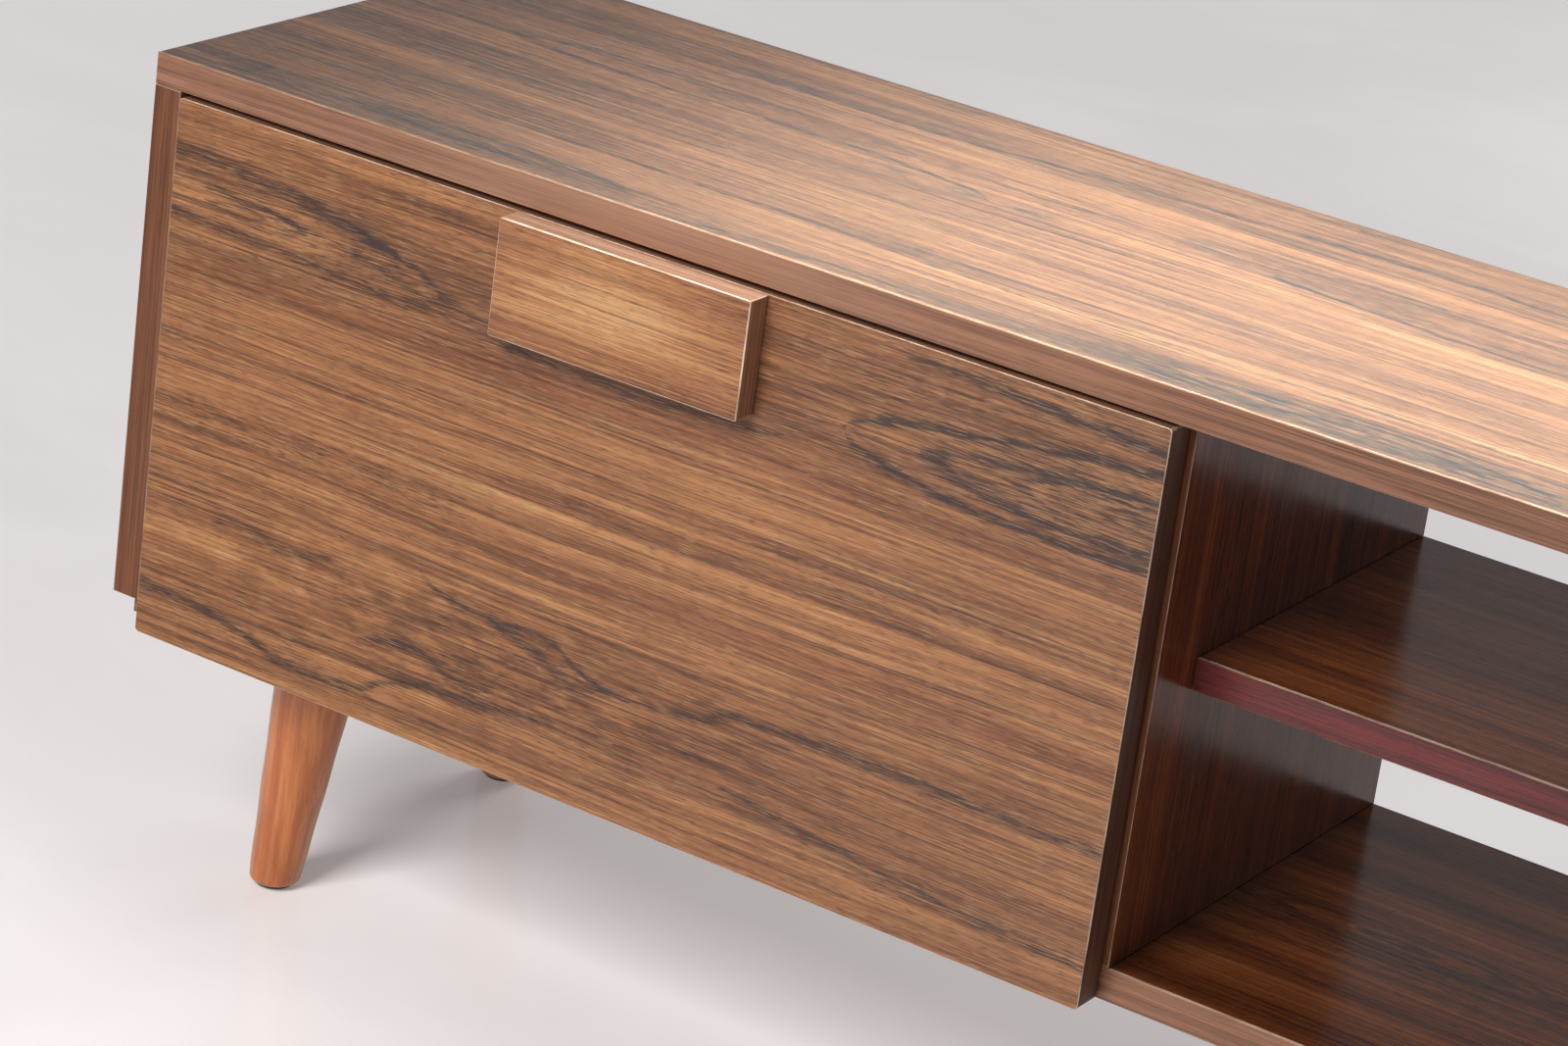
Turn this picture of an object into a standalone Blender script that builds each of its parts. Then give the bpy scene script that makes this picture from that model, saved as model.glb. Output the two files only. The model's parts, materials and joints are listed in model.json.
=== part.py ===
"""Low media cabinet in laminated board: two drop-front compartments, an open
centre bay with a fixed shelf, four splayed turned legs.

Frame: origin on the floor under the centre of the bounding box, +X along the
cabinet, +Y to the back (the flaps face -Y), +Z up. "left" is -X. Sizes are in
millimetres; MM turns them into metres.
"""
import math

import bmesh
import bpy
from mathutils import Matrix, Vector

for _old in list(bpy.data.objects):
    bpy.data.objects.remove(_old, do_unlink=True)

MM = 0.001
ORIGIN = (0.0, 0.0, 0.0)
SIDES = (("left", -1), ("right", 1))

# ---------------------------------------------------------------- main sizes
BOARD = 15.0                    # laminated boards; the flaps are 1 mm more
HALF_L = 800.0                  # half the length
FRONT = -127.5                  # front face of top and sides
TOP_REAR = 142.5
REAR = 139.0                    # rear edge of the other carcass boards
HEIGHT = 410.0
LEG_H = 127.0                   # underside of the bottom board
SETBACK = 1.5                   # flap rear face to the boards behind it
CARCASS_FRONT = FRONT + BOARD + SETBACK
BOTTOM_TOP = LEG_H + BOARD
TOP_UNDER = HEIGHT - BOARD
GAP = 0.3                       # air between boards that meet
FIT = 0.1                       # air between a board and its band or fitting
BAND = 1.0                      # edge banding
SIDE_IN = HALF_L - BOARD        # |x| of the side panel's inner face
BAY = (2 * HALF_L - 4 * BOARD) / 3.0             # clear width of a bay
DIV_IN = BAY / 2.0              # |x| of a divider's two faces
DIV_OUT = DIV_IN + BOARD
BACK_T = 3.0
BACK_INSET = 1.0                # back panel edge in from the boards it covers

SHELF_FRONT = -76.1
SHELF_TOP = 277.5
DOWEL_Y = {"front": -40.0, "rear": 104.0}
DOWEL_BORE_R = 4.2

# flaps
DOOR_IN = 259.5                 # |x| of the flap's edge beside the open bay
DOOR_OUT = 784.3                # |x| of the flap's edge beside the side panel
DOOR_BOT = LEG_H
DOOR_TOP = 392.6
DOOR_CX = 521.5                 # |x| of the middle of its hinge
DOOR_FRONT = FRONT - 1.0        # the flap stands a little proud
DOOR_REAR = FRONT + BOARD

HANDLE_CX = 524.5
HANDLE_W = 133.0
HANDLE_H = 55.0
HANDLE_AIR = 0.2                # between handle and flap
HANDLE_SCREW_DX = 45.0          # screws either side of the handle's middle

# continuous hinge, in the gap behind the flap; its axis is the flap's pivot
PIV_Y = (DOOR_REAR + CARCASS_FRONT) / 2.0
PIV_Z = 124.6
KNUCKLE_R = 1.8
KNUCKLE_AIR = 0.15              # at each end of a knuckle
KNUCKLE_SEGMENTS = 16
PIN_R = 0.8
PIN_INSET = 0.4                 # pin end to hinge end
BORE_R = 1.0
LEAF_T = 0.6
LEAF_TOP = BOTTOM_TOP - 2.5
TOOTH_LOW = PIV_Z + 1.4         # leaf edge where it reaches into its own knuckle
TOOTH_INSET = 0.8
NOTCH_Z = PIV_Z + KNUCKLE_R + 0.4                # leaf edge clear of the knuckles
HINGE_L = 500.0
KNUCKLES = 20

# flap stay: a parallelogram of (y, z) pivots, so the arm turns with the flap
CRANK = (12.0, 115.0)           # flap pivot to the stay's pivot on the flap
COUPLER = (78.0, 62.0)          # flap pivot to the stay's pivot on the side
FLAP_PIVOT = (PIV_Y + CRANK[0], PIV_Z + CRANK[1])
WALL_PIVOT = (PIV_Y + COUPLER[0], PIV_Z + COUPLER[1])
ELBOW = (WALL_PIVOT[0] + CRANK[0], WALL_PIVOT[1] + CRANK[1])
# stay parts by depth from the side panel's inner face: (start, end)
BRACKET = (FIT, 1.6)
ARM = (2.0, 4.0)
LINK = (4.4, 6.4)
EAR = (6.8, 8.3)
STAY_BAR_W = 12.0
STAY_HOLE_R = 2.8
RIVET_R = 2.5
RIVET_HEAD_R = 4.2
RIVET_ROOT = 0.6                # shank sunk in the part that carries it

# legs
FOOT_Y = {"front": -79.8, "rear": 107.8}
FOOT_X = 724.3
FOOT_R = 12.3
LEG_TOP_R = 21.0
SPLAY = 9.25                    # inward lean over LEG_H, in x and in y
LEG_SEGMENTS = 40
LEG_AIR = 0.2                   # leg to its plate and to its glide
PLATE_T = 2.5
PLATE_HALF = 32.0
PLATE_HOLE = 24.0               # corner holes, from the plate's middle
PLATE_TOP = LEG_H - FIT
GLIDE_T = 1.5
LEG_LOW = GLIDE_T + LEG_AIR
LEG_HIGH = PLATE_TOP - PLATE_T - LEG_AIR

# turned profiles: (distance along the axis, radius)
DOWEL_PROFILE = ((0.0, 3.2), (1.0, 4.0), (27.5, 4.0), (28.5, 3.2))
BOLT_PROFILE = ((-32.0, 3.0), (-30.5, 4.0), (6.5, 4.0), (7.8, 3.0))
GLIDE_PROFILE = ((0.0, 8.6), (0.4, 9.2), (GLIDE_T, 9.2),
                 (GLIDE_T + 0.01, 1.5), (12.0, 1.5), (13.2, 0.5))
SCREW_PROFILE = ((-2.4, 2.2), (-1.9, 3.4), (-1.0, 3.9), (0.0, 4.0),
                 (0.01, 2.0), (23.0, 2.0), (25.5, 0.6))
LUG_PROFILE = ((0.0, 1.8), (2.9, 1.8), (3.1, 1.5))
# rounding of a leg's foot: (height above its end, inset from FOOT_R)
FOOT_ROUNDING = ((0.0, 2.4), (0.5, 1.2), (1.3, 0.45), (2.6, 0.05))

# ----------------------------------------------------------------- materials
LAMINATE = dict(colour=(0.26, 0.13, 0.07), roughness=0.4)
EDGE = dict(colour=(0.30, 0.14, 0.07), roughness=0.45)
RED_EDGE = dict(colour=(0.20, 0.04, 0.03), roughness=0.4)
HARDBOARD = dict(colour=(0.22, 0.12, 0.07), roughness=0.8)
STAINED = dict(colour=(0.45, 0.16, 0.05), roughness=0.35)
ZINC = dict(colour=(0.62, 0.62, 0.60), roughness=0.3, metallic=1.0)
NICKEL = dict(colour=(0.70, 0.69, 0.66), roughness=0.22, metallic=1.0)
NYLON = dict(colour=(0.05, 0.04, 0.035), roughness=0.5)
BEECH = dict(colour=(0.62, 0.42, 0.24), roughness=0.6)


def material(name, colour, roughness, metallic=0.0):
    mat = bpy.data.materials.new(name)
    mat.use_nodes = True
    inputs = mat.node_tree.nodes["Principled BSDF"].inputs
    inputs["Base Color"].default_value = (*colour, 1.0)
    inputs["Roughness"].default_value = roughness
    inputs["Metallic"].default_value = metallic
    mat.diffuse_color = (*colour, 1.0)
    return mat


# ------------------------------------------------------------------- objects
def make(name, bm, look, origin=ORIGIN):
    """Turns a bmesh drawn in world millimetres into an object whose origin is
    at `origin` (world millimetres). A helper solid has no look."""
    bmesh.ops.recalc_face_normals(bm, faces=bm.faces)
    if bm.calc_volume(signed=True) < 0:
        bmesh.ops.reverse_faces(bm, faces=bm.faces)
    shift = Matrix.Translation(-Vector(origin))
    bmesh.ops.transform(bm, matrix=Matrix.Scale(MM, 4) @ shift, verts=bm.verts)
    mesh = bpy.data.meshes.new(name)
    bm.to_mesh(mesh)
    bm.free()
    obj = bpy.data.objects.new(name, mesh)
    bpy.context.scene.collection.objects.link(obj)
    obj.location = Vector(origin) * MM
    if look is None:
        obj.hide_render = True
        obj.display_type = "WIRE"
    else:
        mesh.materials.append(material("mat_" + name, **look))
    return obj


def boolean(obj, other, operation):
    """Adds an exact Boolean modifier with a helper solid."""
    mod = obj.modifiers.new(operation.lower(), "BOOLEAN")
    mod.operation = operation
    mod.solver = "EXACT"
    mod.object = other


def drill(obj, centre, axis, radius, start, end, segments=24):
    """Cuts a round hole between two distances along axis from centre."""
    bore = turned(centre, axis, ((start, radius), (end, radius)), segments)
    boolean(obj, make("cut_%s_%d" % (obj.name, len(obj.modifiers)), bore, None), "DIFFERENCE")


def fuse(obj, bm, tag, origin=ORIGIN):
    boolean(obj, make("add_%s_%s" % (obj.name, tag), bm, None, origin), "UNION")


# -------------------------------------------------------------------- solids
def skin(loops):
    """A closed solid through a row of vertex loops; returns nothing but faces
    in the bmesh the loops of points are drawn in."""
    bm = bmesh.new()
    rows = [[bm.verts.new(point) for point in loop] for loop in loops]
    bm.faces.new(list(reversed(rows[0])))
    bm.faces.new(rows[-1])
    count = len(rows[0])
    for low, high in zip(rows, rows[1:]):
        for i in range(count):
            j = (i + 1) % count
            bm.faces.new((low[i], low[j], high[j], high[i]))
    return bm


def turned(centre, axis, profile, segments=24):
    """A solid of revolution; profile is (distance along axis, radius)."""
    direction = Vector(axis).normalized()
    side = direction.orthogonal().normalized()
    other = direction.cross(side)
    angles = [2 * math.pi * i / segments for i in range(segments)]
    loops = []
    for along, radius in profile:
        middle = Vector(centre) + direction * along
        loops.append([middle + side * (radius * math.cos(t)) + other * (radius * math.sin(t))
                      for t in angles])
    return skin(loops)


def prism(outline, axis, start, end):
    """Extrudes a closed outline along an axis. The outline's pairs are the
    other two coordinates, in X, Y, Z order."""
    def place(u, v, w):
        return {"x": (w, u, v), "y": (u, w, v), "z": (u, v, w)}[axis]

    bm = bmesh.new()
    low = [bm.verts.new(place(u, v, start)) for u, v in outline]
    high = [bm.verts.new(place(u, v, end)) for u, v in outline]
    bm.faces.new(low)
    bm.faces.new(list(reversed(high)))
    count = len(outline)
    for i in range(count):
        j = (i + 1) % count
        bm.faces.new((low[j], low[i], high[i], high[j]))
    return bm


def chamfer(bm, edges, offset, clamp=False):
    bmesh.ops.bevel(bm, geom=edges, offset=offset, segments=1,
                    profile=0.5, affect="EDGES", clamp_overlap=clamp)


def box(xa, xb, y0, y1, z0, z1, edge=0.3):
    """A box with chamfered edges; xa and xb come in either order."""
    x0, x1 = sorted((xa, xb))
    bm = prism([(x0, y0), (x0, y1), (x1, y1), (x1, y0)], "z", z0, z1)
    chamfer(bm, list(bm.edges), edge, clamp=True)
    return bm


def slab(outline, y0, y1, edge):
    """An upright board from an (x, z) outline, its two rims chamfered."""
    bm = prism(outline, "y", y0, y1)
    rims = [e for e in bm.edges if abs(e.verts[0].co.y - e.verts[1].co.y) < 1e-6]
    chamfer(bm, rims, edge)
    return bm


def arc(u, v, radius, start, sweep, steps):
    angles = [start + sweep * i / steps for i in range(steps + 1)]
    return [(u + radius * math.cos(t), v + radius * math.sin(t)) for t in angles]


def rounded(u0, u1, v0, v1, radius, steps=6):
    """Outline of a rectangle with rounded corners."""
    corners = ((u1 - radius, v1 - radius), (u0 + radius, v1 - radius),
               (u0 + radius, v0 + radius), (u1 - radius, v0 + radius))
    points = []
    for quarter, (u, v) in enumerate(corners):
        points += arc(u, v, radius, quarter * math.pi / 2, math.pi / 2, steps)
    return points


def bar(start, end, width, steps=8):
    """Outline of a flat bar with round ends between two pivots."""
    angle = math.atan2(end[1] - start[1], end[0] - start[0])
    return (arc(*end, width / 2, angle - math.pi / 2, math.pi, steps)
            + arc(*start, width / 2, angle + math.pi / 2, math.pi, steps))


def add_knuckle(bm, x0, x1):
    """A tube around the hinge axis."""
    count = KNUCKLE_SEGMENTS
    angles = [2 * math.pi * (k + 0.5) / count for k in range(count)]
    section = [(PIV_Y + r * math.cos(t), PIV_Z + r * math.sin(t))
               for r in (KNUCKLE_R, BORE_R) for t in angles]
    near, far = [[bm.verts.new((x, y, z)) for y, z in section] for x in (x0, x1)]
    for k in range(count):
        m = (k + 1) % count
        bm.faces.new((near[k], near[m], far[m], far[k]))
        bm.faces.new((near[count + m], near[count + k], far[count + k], far[count + m]))
        bm.faces.new((near[m], near[k], near[count + k], near[count + m]))
        bm.faces.new((far[k], far[m], far[count + m], far[count + k]))


# ------------------------------------------------------------------- carcass
def banded_board(name, band_name, half_length, front, rear, z0, z1, band_look):
    """A horizontal board with a band on its front edge."""
    board = make(name, box(-half_length, half_length, front + BAND + FIT, rear, z0, z1), LAMINATE)
    make(band_name, box(-half_length, half_length, front, front + BAND, z0, z1), band_look)
    return board


def build_upright_boards(side, sign):
    """Side panel, divider with its dowel bores, and back panel of one side."""
    z0, z1 = BOTTOM_TOP + GAP, TOP_UNDER - GAP
    make("side_" + side, box(sign * SIDE_IN, sign * HALF_L, FRONT, REAR, z0, z1), LAMINATE)
    divider = make("divider_" + side,
                   box(sign * DIV_IN, sign * DIV_OUT, CARCASS_FRONT, REAR, z0, z1), LAMINATE)
    make("back_" + side,
         box(sign * (DIV_IN + BACK_INSET), sign * (HALF_L - BACK_INSET),
             REAR + GAP, REAR + GAP + BACK_T, LEG_H + BACK_INSET, z1, edge=0.2), HARDBOARD)
    for y in DOWEL_Y.values():
        drill(divider, (sign * DIV_IN, y, SHELF_TOP - BOARD / 2), (sign, 0, 0),
              DOWEL_BORE_R, -1.0, 9.0)


def build_shelf():
    """The centre shelf and the dowels that join it to the dividers."""
    shelf = banded_board("centre_shelf", "shelf_front_band", DIV_IN - GAP,
                         SHELF_FRONT, REAR, SHELF_TOP - BOARD, SHELF_TOP, RED_EDGE)
    z = SHELF_TOP - BOARD / 2
    for side, sign in SIDES:
        inward = (-sign, 0, 0)
        for place, y in DOWEL_Y.items():
            drill(shelf, (sign * DIV_IN, y, z), inward, DOWEL_BORE_R, -1.0, 21.0)
            make("shelf_dowel_%s_%s" % (place, side),
                 turned((sign * (DIV_IN + 8.5), y, z), inward, DOWEL_PROFILE, 16), BEECH)


# ---------------------------------------------------------------------- legs
def build_leg(place, side, sign, bottom):
    """A leg with its bolt, plate and glide, and the bolt's bore in the bottom."""
    tag = "%s_%s" % (place, side)
    foot_y = FOOT_Y[place]
    lean_y = SPLAY if place == "front" else -SPLAY

    def axis_at(z):
        part = z / LEG_H
        return Vector((sign * (FOOT_X - SPLAY * part), foot_y + lean_y * part, z))

    def radius_at(z):
        return FOOT_R + (LEG_TOP_R - FOOT_R) * z / LEG_H

    levels = [(LEG_LOW + rise, FOOT_R - inset) for rise, inset in FOOT_ROUNDING]
    levels += [(z, radius_at(z)) for z in (LEG_LOW + 4.0, 30.0, 60.0, 90.0, LEG_HIGH - 1.0)]
    levels.append((LEG_HIGH, radius_at(LEG_HIGH) - 1.0))
    angles = [2 * math.pi * i / LEG_SEGMENTS for i in range(LEG_SEGMENTS)]
    # level rings about the leaning axis
    loops = [[axis_at(z) + Vector((r * math.cos(t), r * math.sin(t), 0)) for t in angles]
             for z, r in levels]
    leg = make("leg_" + tag, skin(loops), STAINED)

    head = axis_at(LEG_HIGH)
    foot = axis_at(LEG_LOW)
    along = (axis_at(LEG_H) - axis_at(0)).normalized()
    up = (0, 0, 1)
    # bolt bore in the leg's head, pin bore for the glide in its foot
    drill(leg, head, along, 4.4, -34.0, 3.0)
    drill(leg, foot, up, 1.9, -2.0, 12.5, 12)
    make("leg_bolt_" + tag, turned(head, along, BOLT_PROFILE, 20), ZINC)

    outline = rounded(head.x - PLATE_HALF, head.x + PLATE_HALF,
                      head.y - PLATE_HALF, head.y + PLATE_HALF, 8)
    plate = make("leg_plate_" + tag, prism(outline, "z", PLATE_TOP - PLATE_T, PLATE_TOP), ZINC)
    drill(plate, axis_at(LEG_H - PLATE_T / 2), along, 4.6, -6.0, 6.0)
    for dx in (-PLATE_HOLE, PLATE_HOLE):
        for dy in (-PLATE_HOLE, PLATE_HOLE):
            drill(plate, (head.x + dx, head.y + dy, LEG_H), up, 2.2, -6.0, 3.0, 16)
    # room in the board for the end of the bolt
    drill(bottom, axis_at(LEG_H), up, 6.0, -3.0, 9.0)

    make("leg_glide_" + tag, turned((foot.x, foot.y, 0.0), up, GLIDE_PROFILE, 20), NYLON)


# --------------------------------------------------------------------- flaps
def build_flap(side, sign, pivot):
    """The flap, the handle on its front face and the two handle screws."""
    x0, x1 = sorted((sign * DOOR_IN, sign * DOOR_OUT))
    door = make("door_" + side, slab(rounded(x0, x1, DOOR_BOT, DOOR_TOP, 2.0, 4),
                                     DOOR_FRONT, DOOR_REAR, 0.4), LAMINATE, pivot)

    middle = sign * HANDLE_CX
    handle_rear = DOOR_FRONT - HANDLE_AIR
    outline = rounded(middle - HANDLE_W / 2, middle + HANDLE_W / 2,
                      DOOR_TOP - HANDLE_H, DOOR_TOP, 1.0, 3)
    handle = make("handle_" + side, slab(outline, FRONT - BOARD, handle_rear, 0.5),
                  LAMINATE, pivot)

    z = DOOR_TOP - HANDLE_H / 2
    for tag, dx in (("inner", -sign * HANDLE_SCREW_DX), ("outer", sign * HANDLE_SCREW_DX)):
        x = middle + dx
        drill(door, (x, DOOR_FRONT, z), (0, 1, 0), 2.3, -2.0, 20.0, 16)
        drill(handle, (x, handle_rear, z), (0, -1, 0), 2.2, -2.0, 11.5, 16)
        make("handle_screw_%s_%s" % (tag, side),
             turned((x, DOOR_REAR + 0.15, z), (0, -1, 0), SCREW_PROFILE, 16), ZINC, pivot)


def build_hinge(side, sign, pivot):
    """Two leaves with alternate knuckles, and the pin through them."""
    start = sign * DOOR_CX - HINGE_L / 2
    pitch = HINGE_L / KNUCKLES
    # leaf, parity of its knuckles, front face, origin
    leaves = (("moving", 0, DOOR_REAR + FIT, pivot),
              ("fixed", 1, CARCASS_FRONT - FIT - LEAF_T, ORIGIN))
    for leaf, parity, front, origin in leaves:
        comb = [(start, LEAF_TOP), (start, NOTCH_Z)]
        knuckles = bmesh.new()
        for i in range(KNUCKLES):
            x0, x1 = start + i * pitch, start + (i + 1) * pitch
            if i % 2 == parity:
                tooth0, tooth1 = x0 + TOOTH_INSET, x1 - TOOTH_INSET
                comb += [(tooth0, NOTCH_Z), (tooth0, TOOTH_LOW),
                         (tooth1, TOOTH_LOW), (tooth1, NOTCH_Z)]
                add_knuckle(knuckles, x0 + KNUCKLE_AIR, x1 - KNUCKLE_AIR)
            comb.append((x1, NOTCH_Z))
        comb.append((start + HINGE_L, LEAF_TOP))
        plate = make("hinge_leaf_%s_%s" % (leaf, side),
                     prism(comb, "y", front, front + LEAF_T), NICKEL, origin)
        fuse(plate, knuckles, "knuckles", origin)
    make("hinge_pin_" + side,
         turned((start + PIN_INSET, PIV_Y, PIV_Z), (1, 0, 0),
                ((0.0, PIN_R), (HINGE_L - 2 * PIN_INSET, PIN_R)), 16), NICKEL)


def build_catch(side, sign, pivot):
    """Magnet under the top panel, strike plate on the flap."""
    x = sign * DOOR_CX
    magnet_top = TOP_UNDER - GAP
    make("catch_magnet_" + side,
         box(x - 23, x + 23, DOOR_REAR + 1.6, DOOR_REAR + 15.6,
             magnet_top - 13.0, magnet_top, edge=0.8), NYLON)
    make("catch_strike_" + side,
         box(x - 17, x + 17, DOOR_REAR + FIT, DOOR_REAR + 1.2,
             TOP_UNDER - 14.5, TOP_UNDER - 4.5, edge=0.2), ZINC, pivot)


def build_stay(side, sign, pivot):
    """The folding stay between the side panel and the flap."""
    def at_x(depth):
        """x of a plane `depth` mm in from the side panel's inner face."""
        return sign * (SIDE_IN - depth)

    def rivet(centre, start, end):
        """Pin between two depths, with a formed head beyond the end."""
        step = 1.0 if end > start else -1.0
        shank = abs(end - start) + RIVET_ROOT
        profile = ((0.0, RIVET_R), (shank, RIVET_R), (shank + 0.01, RIVET_HEAD_R),
                   (shank + 0.4, RIVET_HEAD_R), (shank + 0.8, 3.2))
        return turned((at_x(start - step * RIVET_ROOT), *centre), (-sign * step, 0, 0),
                      profile, 20)

    def flat_bar(name, layer, first, last, holes):
        """A round-ended bar whose origin is its first pivot."""
        x = at_x(sum(layer) / 2)
        origin = (x, *first)
        outline = bar(first, last, STAY_BAR_W)
        obj = make(name + side, prism(outline, "x", at_x(layer[0]), at_x(layer[1])),
                   ZINC, origin)
        for hole in holes:
            drill(obj, (x, *hole), (1, 0, 0), STAY_HOLE_R, -4.0, 4.0, 20)
        return obj, origin

    # bracket on the side panel, with the lug that stops the arm at full opening
    y, z = WALL_PIVOT
    bracket = make("stay_bracket_" + side,
                   prism(rounded(y - 20, y + 10, z - 24, z + 24, 5), "x",
                         at_x(BRACKET[0]), at_x(BRACKET[1])), ZINC)
    fuse(bracket, rivet(WALL_PIVOT, BRACKET[1], LINK[0]), "rivet")
    fuse(bracket, turned((at_x(1.0), y - 12.0, z - 8.0), (-sign, 0, 0), LUG_PROFILE, 16), "lug")

    # the crank arm pivots on the bracket and carries the elbow rivet
    arm, arm_origin = flat_bar("stay_arm_", ARM, WALL_PIVOT, ELBOW, (WALL_PIVOT,))
    fuse(arm, rivet(ELBOW, ARM[1], EAR[0]), "rivet", arm_origin)

    # the link pivots on the flap's foot, its far end turns on the elbow rivet
    flat_bar("stay_link_", LINK, FLAP_PIVOT, ELBOW, (FLAP_PIVOT, ELBOW))

    # foot on the flap: an angle with an ear, and a rivet towards the side panel
    y, z = FLAP_PIVOT
    ear_out, ear_in, flange_end = at_x(EAR[0]), at_x(EAR[1]), at_x(26.0)
    flange_front, flange_rear = DOOR_REAR + FIT, DOOR_REAR + 1.6
    ear_rear = y + 7.0
    outline = [(ear_out, flange_front), (flange_end, flange_front), (flange_end, flange_rear),
               (ear_in, flange_rear), (ear_in, ear_rear), (ear_out, ear_rear)]
    foot = make("stay_foot_" + side, prism(outline, "z", z - 16.0, z + 16.0), ZINC, pivot)
    fuse(foot, rivet(FLAP_PIVOT, EAR[0], ARM[1]), "rivet", pivot)


# ------------------------------------------------------------------ assembly
banded_board("top_panel", "top_front_band", HALF_L, FRONT, TOP_REAR, TOP_UNDER, HEIGHT, EDGE)
bottom_panel = banded_board("bottom_panel", "bottom_front_band", HALF_L,
                            CARCASS_FRONT, REAR, LEG_H, BOTTOM_TOP, EDGE)
for _side, _sign in SIDES:
    build_upright_boards(_side, _sign)
build_shelf()

for _place in FOOT_Y:
    for _side, _sign in SIDES:
        build_leg(_place, _side, _sign, bottom_panel)

for _side, _sign in SIDES:
    flap_pivot = (_sign * DOOR_CX, PIV_Y, PIV_Z)
    build_flap(_side, _sign, flap_pivot)
    build_hinge(_side, _sign, flap_pivot)
    build_catch(_side, _sign, flap_pivot)
    build_stay(_side, _sign, flap_pivot)

bpy.context.view_layer.update()
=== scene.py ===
"""Looks for a low media cabinet, built round its CAD frame.

X runs along the cabinet (left is -X), the doors face -Y and Z is up from the floor.
Sizes and shader coordinates are in mm; lights, camera and floor are in metres.
"""
import json
import math
from functools import cached_property

import bmesh
import bpy
from mathutils import Matrix, Vector

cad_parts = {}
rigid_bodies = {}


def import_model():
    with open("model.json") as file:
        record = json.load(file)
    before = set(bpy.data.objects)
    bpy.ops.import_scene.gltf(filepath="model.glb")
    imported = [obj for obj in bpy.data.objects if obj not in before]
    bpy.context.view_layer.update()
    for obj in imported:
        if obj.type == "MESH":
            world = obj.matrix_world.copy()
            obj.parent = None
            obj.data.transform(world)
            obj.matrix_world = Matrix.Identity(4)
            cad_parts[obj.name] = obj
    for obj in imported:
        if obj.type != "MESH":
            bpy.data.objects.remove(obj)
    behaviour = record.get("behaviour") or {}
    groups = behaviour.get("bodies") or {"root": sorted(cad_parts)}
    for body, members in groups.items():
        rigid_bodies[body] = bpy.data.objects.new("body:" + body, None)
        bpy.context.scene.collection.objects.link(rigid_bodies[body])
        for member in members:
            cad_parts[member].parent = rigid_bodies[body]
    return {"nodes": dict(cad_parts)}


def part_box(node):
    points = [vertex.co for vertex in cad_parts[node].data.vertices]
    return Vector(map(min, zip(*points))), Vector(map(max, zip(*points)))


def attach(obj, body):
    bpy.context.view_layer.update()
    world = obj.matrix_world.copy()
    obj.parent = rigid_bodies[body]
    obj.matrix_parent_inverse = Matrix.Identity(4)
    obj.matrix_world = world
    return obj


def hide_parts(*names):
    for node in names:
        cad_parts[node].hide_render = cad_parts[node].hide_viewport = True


for old_object in list(bpy.data.objects):
    bpy.data.objects.remove(old_object, do_unlink=True)

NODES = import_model()["nodes"]
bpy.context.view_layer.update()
MM = 0.001
SIDES = (("left", -1), ("right", 1))

UNDERSIDE_Z = 127.0          # underside of the bottom board
BOARD_THICKNESS = 15.0
SIDE_INNER_X = 785.0         # inner face of each side board
DIVIDER_X = 264.2
FLAP_REAR_Y = -112.4         # plane carrying the moving hinge leaf and the stay foot
FIXED_LEAF_Y = -111.1        # plane carrying the fixed hinge leaf


# ======================================================================
# A small language for shader graphs
# ======================================================================
def linear(hexa):
    """sRGB hex to a linear RGBA tuple."""
    out = []
    for i in (0, 2, 4):
        c = int(hexa[i:i + 2], 16) / 255.0
        out.append(c / 12.92 if c <= 0.04045 else ((c + 0.055) / 1.055) ** 2.4)
    return (*out, 1.0)


class Val:
    """An output socket that can be used in arithmetic."""

    def __init__(self, graph, socket):
        self.graph, self.socket = graph, socket

    def __add__(self, other):
        return self.graph.math("ADD", self, other)

    __radd__ = __add__

    def __sub__(self, other):
        return self.graph.math("SUBTRACT", self, other)

    def __rsub__(self, other):
        return self.graph.math("SUBTRACT", other, self)

    def __mul__(self, other):
        return self.graph.math("MULTIPLY", self, other)

    def __truediv__(self, number):
        return self.graph.math("MULTIPLY", self, 1.0 / number)

    def __neg__(self):
        return self.graph.math("MULTIPLY", self, -1.0)


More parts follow.
